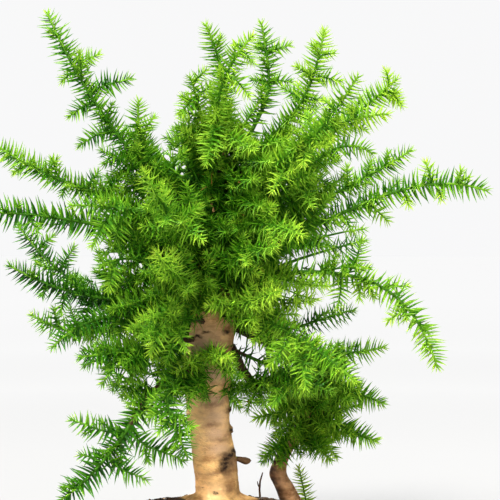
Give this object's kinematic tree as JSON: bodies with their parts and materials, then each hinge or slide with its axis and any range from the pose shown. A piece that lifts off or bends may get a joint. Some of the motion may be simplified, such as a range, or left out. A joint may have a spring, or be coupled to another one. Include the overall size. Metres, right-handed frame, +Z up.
{
  "type": "hoop pine bonsai",
  "caption": "Hoop pine bonsai: stout trunk with a smaller stem beside it, long arching sprays of sharp needles all round, in a plain oval pot.",
  "frame": {"origin": "centre of the pot's flat underside", "axes": "+Z up, -Y towards the front of the tree, +X towards its right, along the pot's long side"},
  "size_m": [0.442, 0.3367, 0.52],
  "materials": {
    "pot": "unglazed dark brown stoneware, matt",
    "soil": "moist granular potting soil",
    "bark": "light tan bark with thin horizontal bands",
    "dark_bark": "reddish brown bark",
    "dead_wood": "dry dark dead wood",
    "needles": "fresh green needles"
  },
  "bodies": {
    "root": {"bough_left_low": "bark", "bough_right_back": "bark", "dead_stub": "dead_wood", "low_spray_down": "needles", "low_spray_front": "needles", "low_spray_left": "needles", "low_spray_left_down": "needles", "low_spray_right": "needles", "low_spray_right_down": "needles", "pot": "pot", "second_stem": "dark_bark", "soil": "soil", "spray_back_1": "needles", "spray_back_10": "needles", "spray_back_2": "needles", "spray_back_3": "needles", "spray_back_4": "needles", "spray_back_5": "needles", "spray_back_6": "needles", "spray_back_7": "needles", "spray_back_8": "needles", "spray_back_9": "needles", "spray_front_high_left": "needles", "spray_front_high_right": "needles", "spray_front_low_left": "needles", "spray_front_low_right": "needles", "spray_front_mid_left": "needles", "spray_front_mid_right": "needles", "spray_left_drooping": "needles", "spray_left_drop": "needles", "spray_left_far": "needles", "spray_left_far_low": "needles", "spray_left_front": "needles", "spray_left_high": "needles", "spray_left_inner": "needles", "spray_left_leader": "needles", "spray_left_long": "needles", "spray_left_low": "needles", "spray_left_pendant": "needles", "spray_left_skirt": "needles", "spray_left_spire": "needles", "spray_right_arch": "needles", "spray_right_arch_end": "needles", "spray_right_back": "needles", "spray_right_far": "needles", "spray_right_high": "needles", "spray_right_long": "needles", "spray_right_low": "needles", "spray_right_mid": "needles", "spray_top_back": "needles", "spray_top_front": "needles", "spray_top_left": "needles", "spray_top_nod": "needles", "spray_top_right": "needles", "spray_trunk_cross": "needles", "spray_upper_front_right": "needles", "spray_upper_right": "needles", "spray_upper_right_front": "needles", "trunk": "bark"}
  },
  "joints": []
}
